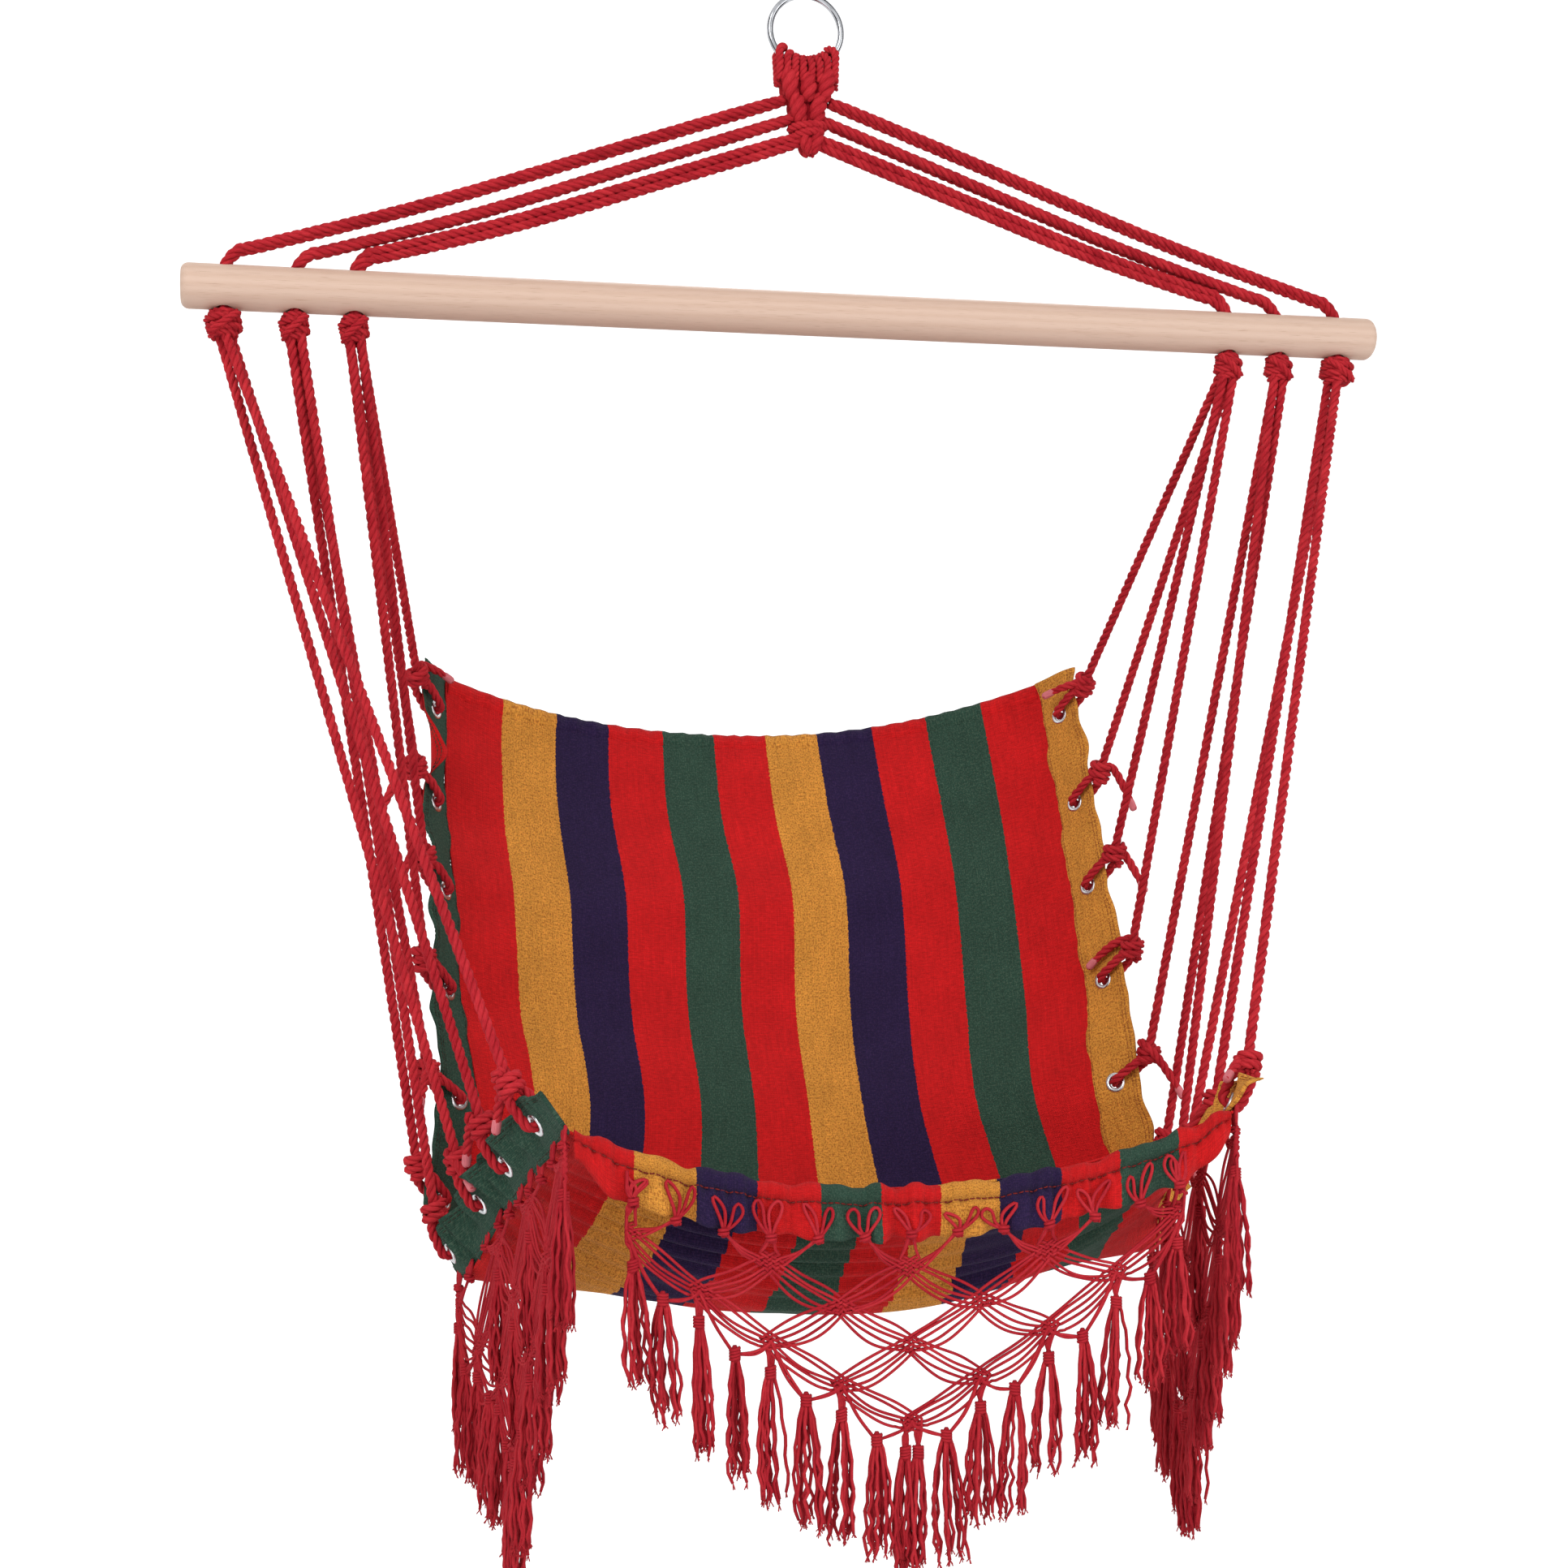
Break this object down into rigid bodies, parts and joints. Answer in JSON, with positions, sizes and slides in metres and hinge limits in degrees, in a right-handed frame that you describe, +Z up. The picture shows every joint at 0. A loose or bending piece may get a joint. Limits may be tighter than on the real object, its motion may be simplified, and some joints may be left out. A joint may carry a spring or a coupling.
{
  "type": "hammock chair",
  "caption": "Hanging hammock chair: striped canvas sling laced by red ropes to a round wooden spreader bar under a steel ring, with knotted macrame fringes and tassels.",
  "frame": {"origin": "centre of the hanging ring's hole", "axes": "+Z up, -Y towards the front of the seat, +X towards the right as seen from the front, along the spreader bar"},
  "size_m": [1, 0.6241, 1.2426],
  "materials": {
    "ring_steel": "polished welded steel",
    "eyelet_steel": "nickelled steel, slightly dulled",
    "red_cord": "twisted three-strand cord, matt",
    "pale_wood": "sanded, unvarnished",
    "striped_canvas": "woven canvas with lengthwise stripes in red, ochre, navy and green",
    "red_canvas": "gathered canvas, striped as the seat",
    "green_canvas": "doubled canvas hem, double stitched",
    "ochre_canvas": "doubled canvas hem, double stitched"
  },
  "bodies": {
    "ring": {"ring": "ring_steel"},
    "hitches": {"ring_hitches": "red_cord"},
    "rigging": {"clew": "red_cord", "spreader_bar": "pale_wood", "fan_rope_inner_left": "red_cord", "fan_rope_inner_right": "red_cord", "fan_rope_middle_left": "red_cord", "fan_rope_middle_right": "red_cord", "fan_rope_outer_left": "red_cord", "fan_rope_outer_right": "red_cord"},
    "sling": {"side_hem_left": "green_canvas", "side_hem_right": "ochre_canvas", "eyelet_left_1": "eyelet_steel", "eyelet_left_2": "eyelet_steel", "eyelet_left_3": "eyelet_steel", "eyelet_left_4": "eyelet_steel", "eyelet_left_5": "eyelet_steel", "eyelet_left_6": "eyelet_steel", "eyelet_left_7": "eyelet_steel", "eyelet_left_8": "eyelet_steel", "eyelet_left_9": "eyelet_steel", "eyelet_left_10": "eyelet_steel", "eyelet_right_1": "eyelet_steel", "eyelet_right_2": "eyelet_steel", "eyelet_right_3": "eyelet_steel", "eyelet_right_4": "eyelet_steel", "eyelet_right_5": "eyelet_steel", "eyelet_right_6": "eyelet_steel", "eyelet_right_7": "eyelet_steel", "eyelet_right_8": "eyelet_steel", "eyelet_right_9": "eyelet_steel", "eyelet_right_10": "eyelet_steel", "seat_rope_left_1": "red_cord", "seat_rope_left_2": "red_cord", "seat_rope_left_3": "red_cord", "seat_rope_left_4": "red_cord", "seat_rope_left_5": "red_cord", "seat_rope_left_6": "red_cord", "seat_rope_left_7": "red_cord", "seat_rope_left_8": "red_cord", "seat_rope_left_9": "red_cord", "seat_rope_left_10": "red_cord", "seat_rope_right_1": "red_cord", "seat_rope_right_2": "red_cord", "seat_rope_right_3": "red_cord", "seat_rope_right_4": "red_cord", "seat_rope_right_5": "red_cord", "seat_rope_right_6": "red_cord", "seat_rope_right_7": "red_cord", "seat_rope_right_8": "red_cord", "seat_rope_right_9": "red_cord", "seat_rope_right_10": "red_cord", "seat_cloth": "striped_canvas", "front_band": "red_canvas", "front_fringe": "red_cord", "side_fringe_left": "red_cord", "side_fringe_right": "red_cord"}
  },
  "joints": [
    {"name": "ring_sway", "type": "hinge", "parent": "ring", "child": "hitches", "pos_m": [0, 0, 0], "axis": [0, 1, 0], "range_deg": [-30, 30]},
    {"name": "rigging_swing", "type": "hinge", "parent": "hitches", "child": "rigging", "pos_m": [0, 0, -0.046], "axis": [1, 0, 0], "range_deg": [-30, 30]},
    {"name": "sling_swing", "type": "hinge", "parent": "rigging", "child": "sling", "pos_m": [0, 0, -0.26705], "axis": [1, 0, 0], "range_deg": [-20, 20]}
  ]
}
